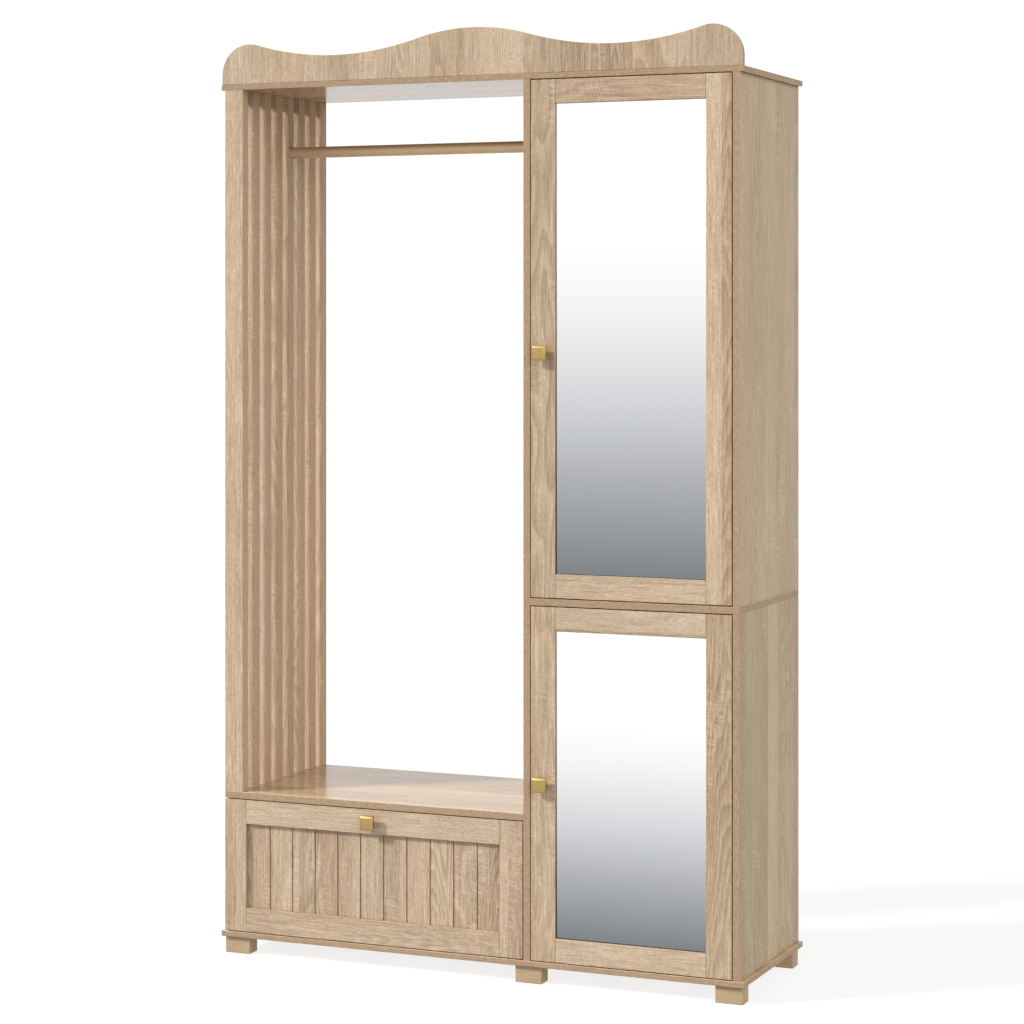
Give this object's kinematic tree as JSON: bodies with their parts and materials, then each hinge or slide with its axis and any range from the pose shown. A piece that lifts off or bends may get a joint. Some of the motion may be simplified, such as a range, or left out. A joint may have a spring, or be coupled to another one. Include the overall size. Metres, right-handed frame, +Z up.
{
  "type": "hall-stand wardrobe",
  "caption": "Free-standing hall wardrobe: slatted open hanging bay with a rail over a flap-front bench, beside a cabinet with upper and lower mirror doors, under a wavy cornice.",
  "frame": {"origin": "on the floor, at the centre of the box that holds the wardrobe with its knobs", "axes": "+Z up, the front with the doors faces -Y, +X to the right of someone facing the front"},
  "size_m": [1.2, 0.422, 2],
  "materials": {
    "oak_board": "sawn-oak melamine, satin",
    "oak_front": "sawn-oak foil on the fronts, satin",
    "hardboard": "thin hardboard, printed oak tone, matt",
    "foot_wood": "plain beige, smooth, satin",
    "mirror": "silvered glass",
    "brass": "satin brass",
    "hinge_steel": "nickel-plated steel"
  },
  "bodies": {
    "carcass": {"base_board": "oak_board", "top_board": "oak_board", "cornice_board": "oak_front", "mid_board": "oak_board", "bench_top": "oak_board", "side_panel_upper": "oak_board", "side_panel_lower": "oak_board", "centre_panel_upper": "oak_board", "centre_panel_lower": "oak_board", "bench_side_panel": "oak_board", "slat_1": "oak_board", "slat_2": "oak_board", "slat_3": "oak_board", "slat_4": "oak_board", "slat_5": "oak_board", "slat_6": "oak_board", "slat_7": "oak_board", "slat_8": "oak_board", "cabinet_back": "hardboard", "bench_back": "hardboard", "upper_shelf_1": "oak_board", "upper_shelf_2": "oak_board", "lower_shelf": "oak_board", "foot_front_left": "foot_wood", "foot_front_centre": "foot_wood", "foot_front_right": "foot_wood", "foot_back_left": "foot_wood", "foot_back_centre": "foot_wood", "foot_back_right": "foot_wood", "clothes_rail": "brass", "upper_hinge_arm_1": "hinge_steel", "upper_hinge_arm_2": "hinge_steel", "lower_hinge_arm_1": "hinge_steel", "lower_hinge_arm_2": "hinge_steel", "flap_hinge_arm_1": "hinge_steel", "flap_hinge_arm_2": "hinge_steel"},
    "upper_door": {"upper_door_stile_left": "oak_front", "upper_door_stile_right": "oak_front", "upper_door_rail_top": "oak_front", "upper_door_rail_bottom": "oak_front", "upper_door_mirror": "mirror", "upper_door_knob": "brass", "upper_hinge_cup_1": "hinge_steel", "upper_hinge_cup_2": "hinge_steel"},
    "lower_door": {"lower_door_stile_left": "oak_front", "lower_door_stile_right": "oak_front", "lower_door_rail_top": "oak_front", "lower_door_rail_bottom": "oak_front", "lower_door_mirror": "mirror", "lower_door_knob": "brass", "lower_hinge_cup_1": "hinge_steel", "lower_hinge_cup_2": "hinge_steel"},
    "flap": {"flap_stile_left": "oak_front", "flap_stile_right": "oak_front", "flap_rail_top": "oak_front", "flap_rail_bottom": "oak_front", "flap_panel": "oak_front", "flap_knob": "brass", "flap_hinge_cup_1": "hinge_steel", "flap_hinge_cup_2": "hinge_steel"}
  },
  "joints": [
    {"name": "upper_door_swing", "type": "hinge", "parent": "carcass", "child": "upper_door", "pos_m": [0.574, -0.189, 1.3455], "axis": [0, 0, 1], "range_deg": [0, 100]},
    {"name": "lower_door_swing", "type": "hinge", "parent": "carcass", "child": "lower_door", "pos_m": [0.574, -0.189, 0.4195], "axis": [0, 0, 1], "range_deg": [0, 100]},
    {"name": "flap_drop", "type": "hinge", "parent": "carcass", "child": "flap", "pos_m": [-0.238, -0.189, 0.051], "axis": [1, 0, 0], "range_deg": [0, 90]}
  ]
}
